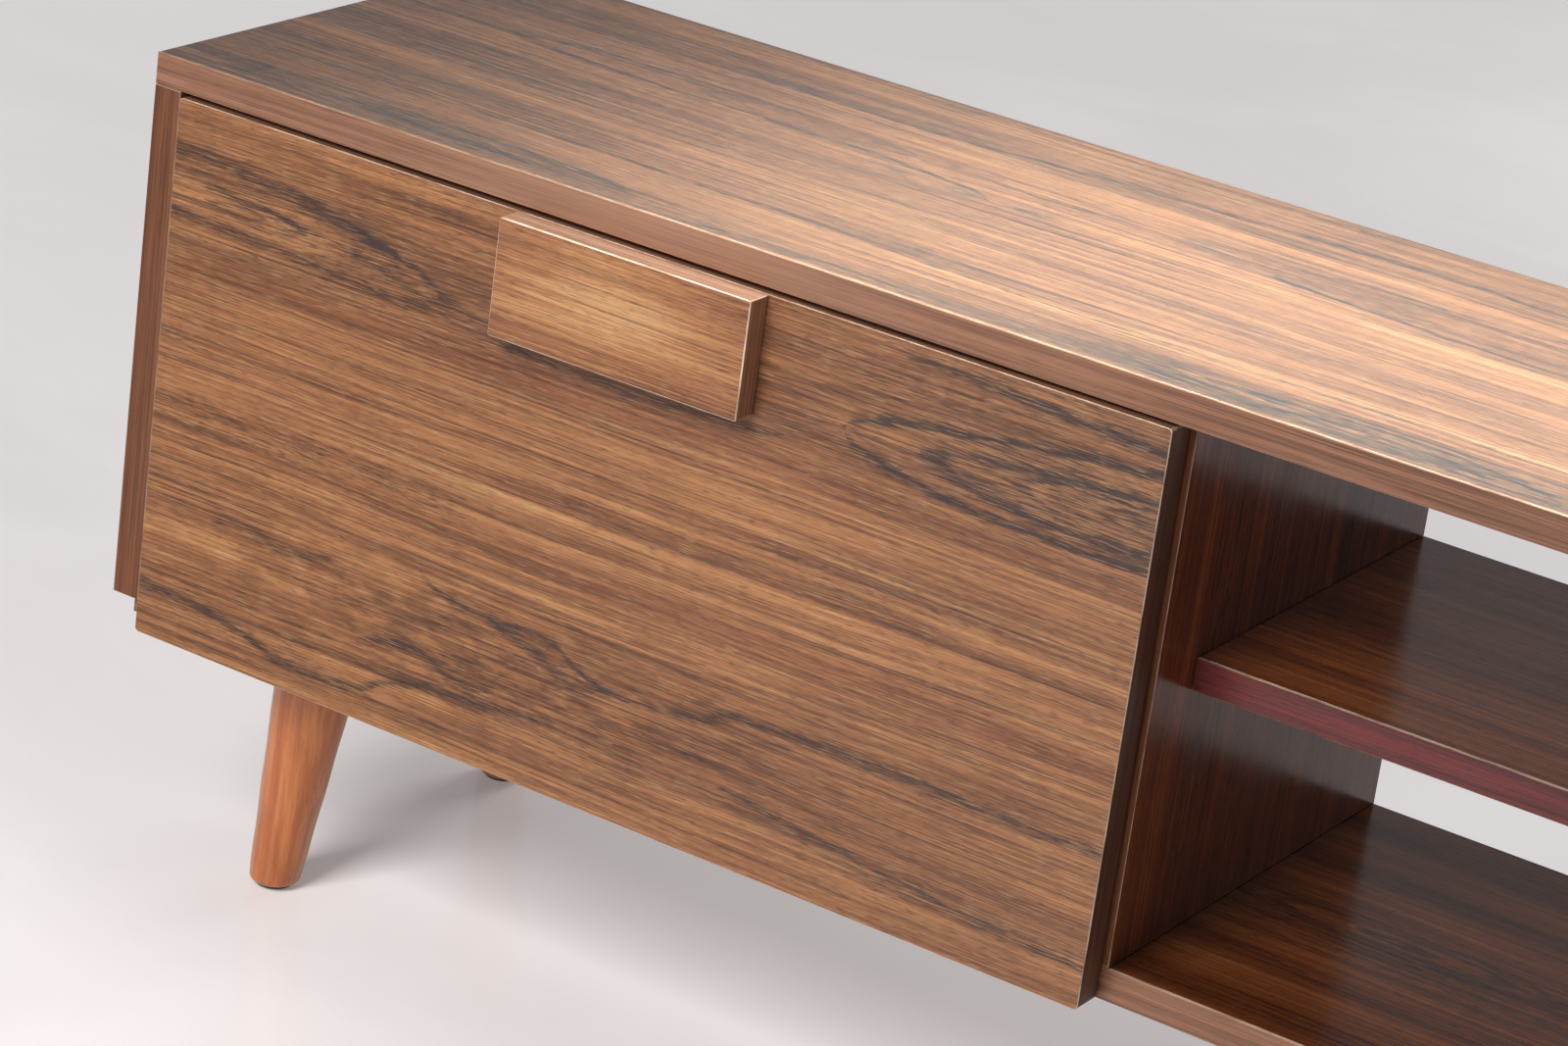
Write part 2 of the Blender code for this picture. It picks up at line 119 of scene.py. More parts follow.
class Graph:
    """A material under construction; x, y, z are object coordinates in mm."""

    def __init__(self, name):
        self.mat = bpy.data.materials.new(name)
        self.mat.use_nodes = True
        self.tree = self.mat.node_tree
        self.tree.nodes.clear()

    def node(self, kind):
        return self.tree.nodes.new(kind)

    def feed(self, value, socket):
        """Link a Val, or set a number or a hex colour."""
        if isinstance(value, Val):
            self.tree.links.new(value.socket, socket)
        else:
            socket.default_value = linear(value) if isinstance(value, str) else value

    @cached_property
    def coord(self):
        return self.node("ShaderNodeTexCoord")

    def split(self, output):
        n = self.node("ShaderNodeSeparateXYZ")
        self.tree.links.new(self.coord.outputs[output], n.inputs[0])
        return [Val(self, socket) for socket in n.outputs]

    @cached_property
    def place(self):
        return [axis * 1000.0 for axis in self.split("Object")]

    @cached_property
    def facing(self):
        """How squarely the surface faces along each axis, 0 to 1."""
        return [self.math("ABSOLUTE", axis) for axis in self.split("Normal")]

    @property
    def x(self):
        return self.place[0]

    @property
    def y(self):
        return self.place[1]

    @property
    def z(self):
        return self.place[2]

    def math(self, op, a, b=None, clamp=False):
        n = self.node("ShaderNodeMath")
        n.operation = op
        n.use_clamp = clamp
        self.feed(a, n.inputs[0])
        if b is not None:
            self.feed(b, n.inputs[1])
        return Val(self, n.outputs[0])

    def clamped(self, a, b):
        """The product held between 0 and 1."""
        return self.math("MULTIPLY", a, b, clamp=True)

    def smooth_min(self, a, b, softness):
        result = self.math("SMOOTH_MIN", a, b)
        result.socket.node.inputs[2].default_value = softness
        return result

    def noise(self, a, b, c, detail=2.0, rough=0.5, distort=0.0):
        place = self.node("ShaderNodeCombineXYZ")
        for value, socket in zip((a, b, c), place.inputs):
            self.feed(value, socket)
        n = self.node("ShaderNodeTexNoise")
        self.tree.links.new(place.outputs[0], n.inputs["Vector"])
        n.inputs["Scale"].default_value = 1.0
        n.inputs["Detail"].default_value = detail
        n.inputs["Roughness"].default_value = rough
        n.inputs["Distortion"].default_value = distort
        return Val(self, n.outputs["Fac"])

    def solid(self, x_size, y_size, z_size, detail=2.0):
        """Noise through the solid, with features of these sizes."""
        return self.noise(self.x / x_size, self.y / y_size, self.z / z_size, detail)

    def streaks(self, u, v, length, width, seed, window, to=(0.0, 1.0), detail=2.0, rough=0.5):
        """Noise drawn out along u, with the window of its values spread over `to`."""
        return self.ramp(self.noise(u / length, v / width, seed, detail, rough), *window, *to)

    def wobble(self, u, v, length, width, seed, size, detail=2.0):
        """A wander to either side of 0, size mm over the noise's full range."""
        return (self.noise(u / length, v / width, seed, detail) - 0.5) * size

    def ramp(self, value, low, high, to_low=0.0, to_high=1.0):
        n = self.node("ShaderNodeMapRange")
        n.interpolation_type = "SMOOTHSTEP"
        self.feed(value, n.inputs["Value"])
        for key, number in (("From Min", low), ("From Max", high),
                            ("To Min", to_low), ("To Max", to_high)):
            n.inputs[key].default_value = number
        return Val(self, n.outputs["Result"])

    def mix(self, factor, a, b, how="MIX"):
        n = self.node("ShaderNodeMix")
        n.data_type = "RGBA"
        n.blend_type = how
        n.clamp_factor = True
        self.feed(factor, n.inputs["Factor"])
        colours = [s for s in n.inputs if s.type == "RGBA"]
        self.feed(a, colours[0])
        self.feed(b, colours[1])
        return Val(self, [s for s in n.outputs if s.type == "RGBA"][0])

    def colours(self, value, stops):
        n = self.node("ShaderNodeValToRGB")
        self.feed(value, n.inputs[0])
        band = n.color_ramp
        while len(band.elements) < len(stops):
            band.elements.new(0.5)
        for element, (at, colour) in zip(band.elements, stops):
            element.position = at
            element.color = linear(colour)
        return Val(self, n.outputs[0])

    def blob(self, u, v, centre_u, centre_v, reach_u, reach_v):
        """A soft round patch: 1 at its centre, 0 far away."""
        du, dv = (u - centre_u) / reach_u, (v - centre_v) / reach_v
        return self.math("EXPONENT", -(du * du + dv * dv))

    def patches(self, u, v, table):
        """Each patch of a table as its blob and its amount."""
        for *shape, amount in table:
            yield self.blob(u, v, *shape), amount

    def path(self, value, points):
        """A smooth curve through (value, result) points, held at both ends."""
        start = points[0][0]
        length = points[-1][0] - start
        base = min(p[1] for p in points)
        tall = max(max(p[1] for p in points) - base, 1.0)
        share = (value - start) / length
        n = self.node("ShaderNodeFloatCurve")
        spots = [((a - start) / length, (b - base) / tall) for a, b in points]
        curve = n.mapping.curves[0]
        curve.points[0].location = spots[0]
        curve.points[1].location = spots[-1]
        for spot in spots[1:-1]:
            curve.points.new(*spot)
        n.mapping.update()
        self.feed(share, n.inputs["Value"])
        return Val(self, n.outputs[0]) * tall + base

    def bump(self, height, strength, distance):
        n = self.node("ShaderNodeBump")
        n.inputs["Strength"].default_value = strength
        n.inputs["Distance"].default_value = distance
        self.feed(height, n.inputs["Height"])
        return Val(self, n.outputs[0])

    def finish(self, colour, rough, metal=0.0, normal=None, coat=0.0, coat_rough=0.2,
               spec=0.5, glow=None):
        """Close the graph. glow is (colour, strength) of emitted light."""
        n = self.node("ShaderNodeBsdfPrincipled")
        values = {"Base Color": colour, "Roughness": rough, "Metallic": metal,
                  "Specular IOR Level": spec, "Coat Weight": coat, "Coat Roughness": coat_rough}
        if normal is not None:
            values["Normal"] = normal
        if glow:
            values["Emission Color"], values["Emission Strength"] = glow
        for key, value in values.items():
            self.feed(value, n.inputs[key])
        out = self.node("ShaderNodeOutputMaterial")
        self.tree.links.new(n.outputs[0], out.inputs["Surface"])
        return self.mat


# ======================================================================
# Wood-print laminate: u runs along the grain, v across it
# ======================================================================
# tone, colour
BROWNS = ((0.0, "301D15"), (0.20, "54321F"), (0.40, "7B4E2F"),
          (0.55, "905E3B"), (0.74, "A87347"), (1.0, "C29564"))


def ridge(g, value, sharp):
    """1 along the lines where a noise crosses its middle, falling off to 0."""
    return g.ramp(g.math("ABSOLUTE", value - 0.5), sharp, 0.0)


def growth(g, u, v, seed, hearts, wild):
    """The growth-line coordinate of a flat-sawn board, in mm. Near a heart the
    lines close into cathedrals; in a wild patch they ruffle."""
    slow = g.wobble(u, v, length=560, width=150, seed=seed, size=40, detail=1)
    quick = g.wobble(u, v, length=105, width=26, seed=seed + 5.3, size=6)
    if hearts:
        line = None
        for centre, first, second, depth in hearts:
            across = v - centre + slow * 0.35 + quick * 0.5
            down = g.math("SINE", (u - first) * (math.pi / (second - first))) * depth
            ring = g.math("SQRT", across * across + down * down)
            line = g.smooth_min(line, ring, softness=6.0) if line else ring
        line = line + slow * 0.25
    else:
        line = v + slow * 0.6
    line = line + quick
    if wild:
        ruffle = g.noise(u / 30, v / 8, seed + 7.7, detail=3.0, rough=0.55) - 0.5
        for blob, amount in g.patches(u, v, wild):
            line = line + blob * ruffle * amount
    return line


def veins_and_shadow_at(g, u, v, seed, veins_and_shadow):
    """How crowded the dark fibres are along the drawn lines: vein lines, and a painted shadow line
    drawn the same way.
    """
    wu = u + g.wobble(u, v, length=40, width=14, seed=seed + 81, size=26, detail=1)
    wv = v + g.wobble(u, v, length=60, width=17, seed=seed + 83, size=5, detail=1) \
        + g.wobble(u, v, length=14, width=5, seed=seed + 85, size=3.4)
    total = None
    for points, width, strength in veins_and_shadow:
        off = (wv - g.path(wu, points)) / width
        first, last = points[0][0], points[-1][0]
        fade = g.ramp(wu, first - 6, first + 9) * g.ramp(wu, last + 8, last - 10, 0, strength)
        here = g.math("EXPONENT", -(off * off)) * fade
        total = total + here if total else here
    return total


def grain(g, u, v, seed, hearts=(), wild=(), dark=(), pale=(), red=(), veins_and_shadow=(), lively=1.0,
          shade=None, mottle=()):
    """Printed walnut figure, as (colour, height). Tables, all in mm:
    hearts: v of the centre, u where it breaks the surface, u where it does so
        again, depth between them
    veins_and_shadow: (u, v) points along it, half width, strength; vein lines, and on the left
    flap a painted shadow line
    wild, dark, pale, red, mottle: patch centre u, v, reach along u, v, amount
    shade: painted shade, darker towards one end, as u where darkest, u where it ends, amount"""
    line = growth(g, u, v, seed, hearts, wild)
    # the fibres run nearly straight, whatever the growth lines do
    fibre = v + g.wobble(u, v, length=300, width=60, seed=seed + 5.3, size=9)

    # crowd: where the figure crowds together
    crowd = g.streaks(u, v, length=240, width=26, seed=seed + 3, window=(0.52, 0.75),
                      detail=1) * 0.22
    for blob, amount in g.patches(u, v, dark):
        crowd = blob * amount + crowd
    for blob, amount in g.patches(u, v, pale):
        crowd = crowd - blob * amount * 2.0
    crowd = g.math("MAXIMUM", crowd, 0.0)

    # ground tone, from broad bands down to hairs
    broad = g.streaks(u, line, length=1600, width=23, seed=seed + 11, window=(0.32, 0.68),
                      detail=1)
    mid = g.streaks(u, line, length=420, width=6, seed=seed + 23, window=(0.30, 0.70), rough=0.6)
    streak = g.streaks(u, fibre, length=640, width=2.9, seed=seed + 27, window=(0.36, 0.64),
                       rough=0.6)
    fine = g.streaks(u, fibre, length=240, width=1.4, seed=seed + 31, window=(0.36, 0.64),
                     rough=0.65)
    hair = g.streaks(u, fibre, length=18, width=0.6, seed=seed + 37, window=(0.34, 0.66),
                     rough=0.7)
    cloud = g.streaks(u, v, length=70, width=16, seed=seed + 39, window=(0.30, 0.70), rough=0.6)
    tone = 0.54 + (broad - 0.5) * 0.20 + (mid - 0.5) * 0.18 * lively \
        + (streak - 0.5) * 0.17 * lively + (fine - 0.5) * 0.23 + (hair - 0.5) * 0.12 \
        + (cloud - 0.5) * 0.12
    # pale patches lighten the tone: pale print, and on the left handle a painted highlight
    for blob, amount in g.patches(u, v, pale):
        tone = tone + blob * amount
    if mottle:
        spots = g.streaks(u, v, length=26, width=10, seed=seed + 67, window=(0.32, 0.68),
                          rough=0.6) - 0.5
        for blob, amount in g.patches(u, v, mottle):
            tone = tone + blob * spots * amount
    # painted shade: the tone falls towards one end
    if shade:
        tone = tone - g.ramp(u, *shade, 0.0)
    colour = g.colours(tone, BROWNS)
    for blob, amount in g.patches(u, v, red):
        colour = g.mix(blob * amount, colour, "723A22")
    # greyer, paler ground where the figure crowds together
    colour = g.mix(g.clamped(crowd, 0.34), colour, g.mix(fine, "61493A", "987957"))

    # fine straight lines in groups, dark then light
    group = g.streaks(u, fibre, length=520, width=8, seed=seed + 61, window=(0.36, 0.62),
                      to=(0.25, 1.0), detail=1)
    ruled = g.streaks(u, fibre, length=230, width=1.1, seed=seed + 63, window=(0.52, 0.62),
                      rough=0.6) * group
    colour = g.mix(ruled * 0.70, colour, "4A2B1E")
    lit = g.streaks(u, fibre, length=200, width=0.95, seed=seed + 65, window=(0.58, 0.70),
                    rough=0.6)
    colour = g.mix(lit * 0.30, colour, "B98B62")

    # long thin growth lines
    thin = ridge(g, g.noise(u / 620, line / 8.5, seed + 41, detail=1.0), sharp=0.035)
    thinner = ridge(g, g.noise(u / 260, line / 3.1, seed + 43, detail=1.0), sharp=0.06)
    show = g.streaks(u, line, length=300, width=11, seed=seed + 45, window=(0.40, 0.62), detail=1)
    ragged = g.streaks(u, fibre, length=22, width=0.75, seed=seed + 47, window=(0.30, 0.70),
                       rough=0.65)
    mark = (thin * 0.75 + thinner * 0.45 * show) * (ragged * 0.5 + 0.5)
    colour = g.mix(g.clamped(mark, crowd * 0.4 + 0.5), colour, "41281D")

    # dark fibres, thick on the ground where the figure crowds together
    vein = g.streaks(u, line, length=150, width=3.4, seed=seed + 51, window=(0.42, 0.62),
                     rough=0.6)
    density = crowd * (vein * 0.72 + 0.22) + 0.09
    if veins_and_shadow:
        density = density + veins_and_shadow_at(g, u, v, seed, veins_and_shadow)
    colour = g.mix(g.clamped(density, 0.40), colour, "573B2A")
    dashes = g.ramp(ragged + density, 1.0, 1.16)
    dash_colour = g.mix(g.clamped(density, 0.8), "452C1F", "30272A")
    colour = g.mix(dashes * 0.80, colour, dash_colour)

    # pores: short dark dashes along the grain, and pale ones between
    speck = g.streaks(u, fibre, length=8, width=0.5, seed=seed + 53, window=(0.30, 0.70),
                      detail=1)
    pore = g.ramp(speck + density * 0.55, 0.90, 1.06)
    colour = g.mix(pore * 0.50, colour, "281A14")
    pale_dash = g.streaks(u, fibre, length=14, width=0.6, seed=seed + 59, window=(0.58, 0.68),
                          detail=1)
    colour = g.mix(pale_dash * 0.26, colour, "C9A276")
    height = hair * 0.5 - g.ramp(speck, 0.84, 0.98) + fine * 0.3
    return colour, height


def edge_print(g, u, v, seed, base="8C5F47", deep="633F2D", light="A97C60"):
    """Edge banding: quiet streaks along the edge."""
    slow = g.streaks(u, v, length=240, width=3.4, seed=seed, window=(0.3, 0.7))
    fast = g.streaks(u, v, length=55, width=0.9, seed=seed + 9, window=(0.3, 0.7), rough=0.6)
    colour = g.mix(slow, deep, base)
    colour = g.mix(fast * 0.35, colour, light)
    dash = g.streaks(u, v, length=16, width=0.4, seed=seed + 17, window=(0.56, 0.68), detail=1)
    ruled = g.streaks(u, v, length=150, width=0.75, seed=seed + 19, window=(0.54, 0.66),
                      rough=0.6)
    colour = g.mix(ruled * 0.6, colour, "3E271B")
    return g.mix(dash * 0.35, colour, "3A251A"), fast * 0.4 - dash * 0.6


def painted_edge_highlight(g, u, strength, along=None, highlight_fade=None):
    """Painted highlight: 1 on the narrow eased edges of a board, broken up by noise. With
    highlight_fade, fainter before its first place along than after its second."""
    nx, ny, nz = g.facing
    flat = g.math("MAXIMUM", nx, g.math("MAXIMUM", ny, nz))
    highlight_breakup = g.ramp(g.noise(u / 26, 0.0, 3.0, detail=3.0, rough=0.6), 0.36, 0.58, 0.35, 1.0)
    if highlight_fade:
        highlight_breakup = highlight_breakup * g.ramp(along, *highlight_fade, 0.3, 1.0)
    return g.clamped(g.ramp(flat, 0.97, 0.90), highlight_breakup * strength)


def board(name, face, seed, along="x", edge_highlight_strength=0.55, gloss=0.34, shade_tint=None, spec=0.30,
          painted_sheen=None, edges=None, ends=None, highlight_fade=None, relief=0.22, seam_highlight_z=None, **figure):
    """A laminated board. Its broad faces look along `face` and its print runs
    along `along`. gloss is the roughness of the broad faces. edges and ends are
    edge_print colours. painted_sheen is a painted sheen added over the print: start,
    stop, amount at each, colour. shade_tint multiplies the print darker, as painted
    shade. edge_highlight_strength and highlight_fade set the painted highlight on the
    eased edges. seam_highlight_z is the height of the board this one stands on, where
    a painted highlight line runs."""
    g = Graph(name)
    axes = dict(zip("xyz", g.place))
    facing = dict(zip("xyz", g.facing))
    across = [a for a in "xyz" if a not in (face, along)][0]
    u, v, through = axes[along], axes[across], axes[face]
    colour, height = grain(g, u, v, seed, **figure)
    # painted shade: the print multiplied darker, for boards inside the bay
    if shade_tint:
        colour = g.mix(1.0, colour, shade_tint, "MULTIPLY")
    # painted sheen: a hazy film added over the print, growing from start to stop
    if painted_sheen:
        *span, sheen_colour = painted_sheen
        colour = g.mix(g.ramp(u, *span), colour, sheen_colour, "ADD")
    # narrow faces: banding whose print runs along the edge
    long_edge, long_height = edge_print(g, u, through, seed + 70, **(edges or {}))
    end_edge, end_height = edge_print(g, v, through, seed + 80, **(ends or {}))
    is_long = g.ramp(facing[across], 0.6, 0.8)
    is_end = g.ramp(facing[along], 0.6, 0.8)
    colour = g.mix(is_long, colour, long_edge)
    colour = g.mix(is_end, colour, end_edge)
    height = height * (1.0 - is_long) * (1.0 - is_end) \
        + long_height * is_long + end_height * is_end
    # painted highlight: cream on the eased edges
    colour = g.mix(painted_edge_highlight(g, u + v, edge_highlight_strength, u, highlight_fade), colour, "EBD6C0")
    # painted highlight: a pale line along the foot, where the boards meet
    if seam_highlight_z:                                 # a pale line where the boards meet
        colour = g.mix(g.ramp(g.z, seam_highlight_z + 1.3, seam_highlight_z + 0.7, 0.0, 0.55), colour, "A48A70")
    wear = g.noise(u / 60, v / 25, seed + 90)
    rough = g.ramp(wear, 0.2, 0.8, gloss - 0.05, gloss + 0.07) + height * -0.03
    narrow = g.math("MAXIMUM", is_long, is_end)
    rough = rough + narrow * (0.5 - gloss)
    return g.finish(colour, rough, normal=g.bump(height, relief, 0.00012), spec=spec)


def put(name, mat):
    """Give a CAD piece one material throughout."""
    obj = NODES[name]
    if obj.material_slots:
        for slot in obj.material_slots:
            slot.material = mat
    else:
        obj.data.materials.append(mat)


# ---- doors (table columns are in the docstring of grain) ----
DOOR_LEFT = dict(
    hearts=((347, -745, -262, 24), (186, -800, -250, 20),
            (60, -700, -300, 30), (470, -700, -300, 30)),
    wild=((-600, 172, 70, 26, 30), (-555, 200, 55, 12, 20),
          (-700, 185, 60, 20, 18), (-690, 345, 70, 16, 8)),
    dark=((-705, 352, 80, 15, 0.50), (-295, 350, 90, 20, 0.62), (-290, 385, 70, 8, 0.4),
          (-600, 180, 60, 18, 0.10), (-745, 147, 60, 6, 0.3), (-330, 200, 120, 4, 0.2),
          (-520, 145, 60, 5, 0.2), (-320, 150, 90, 8, 0.25)),
    pale=((-650, 262, 230, 10, 0.12), (-520, 216, 330, 4, 0.14), (-660, 208, 60, 10, 0.10),
          (-500, 300, 200, 5, 0.10), (-690, 300, 80, 9, 0.08), (-640, 130, 70, 8, 0.08),
          (-680, 190, 110, 30, 0.06), (-560, 250, 260, 12, 0.05)),
    red=((-500, 318, 260, 6, 0.45), (-420, 236, 260, 5, 0.4), (-700, 250, 90, 10, 0.3)),
    mottle=((-655, 182, 130, 42, 0.24), (-520, 175, 90, 26, 0.16)),
    veins_and_shadow=(
        (((-792, 369), (-726, 366), (-668, 357), (-618, 339)), 3.2, 0.62),
        (((-770, 356), (-714, 352), (-668, 345), (-630, 338)), 2.4, 0.42),
        (((-792, 340), (-707, 336), (-657, 334), (-612, 337), (-585, 330)), 2.6, 0.50),
        (((-412, 346), (-400, 354), (-368, 359), (-322, 366), (-250, 373)), 2.2, 0.80),
        (((-412, 346), (-399, 338), (-368, 331), (-322, 328), (-250, 330)), 2.2, 0.80),
        (((-370, 346), (-345, 352), (-303, 356), (-250, 360)), 3.0, 0.55),
        (((-370, 346), (-342, 339), (-303, 335), (-250, 336)), 3.4, 0.62),
        (((-386, 388), (-322, 384), (-250, 380)), 2.6, 0.60),
        # painted shadow: this dark line just under the handle is the handle's shadow
        (((-600, 329), (-545, 328), (-490, 329), (-440, 333)), 2.2, 0.62),
        (((-624, 215), (-580, 200), (-545, 201), (-518, 188), (-468, 192), (-437, 199),
          (-250, 200)), 2.4, 0.55),
        (((-584, 199), (-556, 193), (-535, 186), (-520, 187)), 4.2, 0.55),
        (((-748, 191), (-722, 200), (-699, 196), (-670, 201)), 3.0, 0.40),
        (((-652, 164), (-622, 171), (-599, 165), (-574, 170)), 3.2, 0.62),
        (((-792, 154), (-726, 148), (-672, 141), (-622, 154), (-576, 159), (-535, 163)),
         2.6, 0.60),
        (((-455, 165), (-399, 157), (-322, 150), (-250, 146)), 1.8, 0.50),
        (((-792, 246), (-706, 247), (-600, 245)), 6.5, 0.26),
    ),
)
DOOR_RIGHT = dict(
    hearts=((330, 300, 760, 24), (180, 430, 900, 22), (470, 200, 700, 30), (40, 200, 700, 30)),
    wild=((560, 250, 60, 22, 34), (330, 172, 60, 20, 22)),
    dark=((330, 335, 110, 16, 0.9), (640, 185, 100, 16, 0.7),
          (730, 340, 60, 14, 0.7), (430, 180, 60, 10, 0.6)),
    pale=((520, 270, 220, 10, 0.12), (420, 225, 200, 6, 0.12)),
)
# painted light on the left flap: a sheen growing towards its right, and painted shade in the
# darker banding on its end faces
put("door_left", board("door_left_print", "y", seed=3.0, painted_sheen=(-783, -270, 0.0, 1.0, "0C191F"),
                       ends=dict(base="6E4734", deep="4C2E20", light="835A44"), **DOOR_LEFT))
put("door_right", board("door_right_print", "y", seed=14.0, **DOOR_RIGHT))

# ---- top ----
TOP = dict(
    hearts=((48, -560, -200, 20), (-108, -635, -215, 15), (-230, -500, 0, 20),
            (200, -400, 200, 30)),
    wild=((-465, 22, 40, 10, 24), (300, 40, 50, 12, 26)),
    dark=((-330, -119, 420, 7, 0.55), (-700, -108, 130, 12, 0.45), (-180, -110, 110, 12, 0.5),
          (-495, 22, 15, 5, 0.8), (-455, 22, 8, 8, 0.85), (-420, 22, 12, 5, 0.6),
          (-345, 52, 13, 7, 0.6), (-525, 131, 16, 4, 0.6), (-300, 35, 100, 5, 0.2),
          (120, 60, 120, 12, 0.4), (420, -20, 150, 12, 0.4), (640, 80, 110, 12, 0.4),
          (600, -104, 130, 12, 0.5)),
    pale=((-420, -50, 240, 20, 0.08), (-200, 10, 160, 22, 0.12), (-250, -82, 240, 5, 0.14),
          (60, -70, 240, 16, 0.08)),
    veins_and_shadow=(
        (((-810, 93), (-550, 90), (-450, 95), (-350, 102), (-275, 106), (-190, 102), (-60, 92)),
         2.2, 0.55),
        (((-812, 47), (-740, 45), (-722, 45)), 2.6, 0.62),
        (((-722, 44), (-708, 53), (-670, 57), (-560, 58)), 1.7, 0.55),
        (((-722, 44), (-700, 39), (-600, 37), (-520, 35), (-475, 32), (-448, 20)), 1.8, 0.60),
        (((-704, 47), (-685, 40), (-650, 40)), 1.8, 0.45),
        (((-466, 50), (-440, 58), (-400, 55), (-385, 52)), 1.2, 0.50),
        (((-466, 50), (-430, 46), (-400, 48), (-385, 52)), 1.2, 0.50),
        (((-309, 50), (-296, 58), (-275, 62), (-185, 68), (-60, 78)), 1.7, 0.50),
        (((-309, 50), (-300, 38), (-250, 33), (-160, 28), (0, 25)), 1.7, 0.60),
        (((-812, -17), (-725, -18), (-560, -20)), 2.2, 0.35),
        (((-812, -75), (-600, -73), (-450, -78), (-300, -82), (-60, -81)), 1.3, 0.50),
        (((-256, -107), (-175, -102), (-125, -107), (-95, -122)), 1.7, 0.60),
        (((-230, -116), (-170, -110), (-130, -118)), 1.8, 0.50),
        (((-810, -104), (-700, -101), (-560, -103)), 2.4, 0.42),
        (((-780, -116), (-680, -113), (-590, -115)), 2.4, 0.42),
        (((40, 60), (120, 70), (240, 62), (380, 74), (520, 70)), 2.0, 0.5),
        (((330, -40), (420, -20), (560, -28), (700, -16), (812, -20)), 2.0, 0.55),
        (((500, 100), (600, 92), (812, 96)), 2.2, 0.5),
    ),
)
# painted light on the top: shade at its left end, a sheen growing to the right, and an edge
# highlight fading out to the left
put("top_panel", board("top_print", "z", seed=27.0, edge_highlight_strength=1.0, highlight_fade=(-640, -480),
                       gloss=0.32, spec=0.62, shade=(-800, -470, 0.16), lively=0.9,
                       painted_sheen=(-800, -430, 0.36, 1.0, "294145"), **TOP))

# ---- handles ----
HANDLE = dict(
    edge_highlight_strength=1.0,
    # painted highlight: the top and bottom faces get a paler banding, for light from above
    edges=dict(base="AC846C", deep="8E6852", light="C49F86"),
    ends=dict(base="9A6B50", deep="5E3A28", light="B4876A"),
)
# painted light on the left handle: a sheen over its whole face, and its pale patches are a painted
# highlight at the middle of the face
put("handle_left", board("handle_left_print", "y", seed=41.0, lively=0.8,
                         painted_sheen=(-800, -799, 1.0, 1.0, "120814"),
                         pale=((-528, 368, 44, 18, 0.42), (-550, 352, 50, 14, 0.06)),
                         dark=((-478, 358, 22, 10, 0.3),), **HANDLE))
put("handle_right", board("handle_right_print", "y", seed=44.0,
                          dark=((500, 372, 40, 8, 0.3),), **HANDLE))

# ---- bottom, shelf, sides and dividers ----
# painted shade: the bottom and the shelf take a darkening tint for the bay's shade
put("bottom_panel", board("bottom_print", "z", seed=52.0, gloss=0.17, shade_tint="AA8A72",
                          hearts=((10, -180, 200, 20), (-150, -100, 300, 20),
                                  (170, -100, 300, 20)),
                          dark=((-170, 0, 110, 26, 0.8), (200, -40, 120, 16, 0.5))))
put("centre_shelf", board("shelf_print", "z", seed=58.0, gloss=0.17, shade_tint="AA8A72",
                          hearts=((20, 60, 420, 18), (150, 0, 400, 20)),
                          dark=((90, 20, 90, 14, 0.6),)))
UPRIGHT = dict(
    along="z", edge_highlight_strength=0.35, spec=0.24,
    edges=dict(base="74462D", deep="55301E", light="8C5C3E"),
    hearts=((-60, 200, 520, 16), (70, 330, 700, 16)),
    dark=((230, -60, 80, 12, 0.6), (300, 60, 60, 10, 0.6)),
)
OUTER = dict(gloss=0.32)
# painted light on the dividers: a darker, warmer tint for the bay's shade, a sheen on their lower
# part, a highlight line at their foot
DIVIDER = dict(gloss=0.20, relief=0.05, painted_sheen=(310, 225, 0.0, 1.0, "422819"),
               seam_highlight_z=UNDERSIDE_Z + BOARD_THICKNESS, shade_tint="D09C70")
for piece_name, seed, look in (("side_left", 63.0, OUTER), ("side_right", 67.0, OUTER),
                               ("divider_left", 71.0, DIVIDER), ("divider_right", 76.0, DIVIDER)):
    put(piece_name, board(piece_name + "_print", "x", seed=seed, **UPRIGHT, **look))


# ---- separate front edge bands, along X ----
def band(name, seed, **colours):
    g = Graph(name)
    colour, height = edge_print(g, g.x, g.y + g.z, seed, **colours)
    # painted highlight: cream on the band's eased edges
    return g, g.mix(painted_edge_highlight(g, g.x, 0.5), colour, "E2C3A2"), height


def board_band(name, seed):
    g, colour, height = band(name + "_print", seed)
    # painted sheen: a paler length of the band
    if name.startswith("top"):               # a paler length of the band
        paler = g.blob(g.x, 0.0, centre_u=-520.0, centre_v=0.0, reach_u=115.0, reach_v=1.0)
        colour = g.mix(paler * 0.36, colour, "BD9177")
    return g.finish(colour, 0.36, normal=g.bump(height, 0.15, 0.0001), spec=0.4)


def shelf_band():
    g, colour, height = band("shelf_band_print", 99.0, base="632124", deep="321014",
                             light="8F3A35")
    fleck = g.streaks(g.x, g.y + g.z, length=5, width=0.7, seed=5.0, window=(0.56, 0.66),
                      rough=0.6)
    colour = g.mix(fleck * 0.45, colour, "2C1114")
    return g.finish(colour, 0.32, normal=g.bump(height, 0.15, 0.0001), spec=0.45)


put("top_front_band", board_band("top_front_band", 91.0))
put("bottom_front_band", board_band("bottom_front_band", 95.0))
put("shelf_front_band", shelf_band())


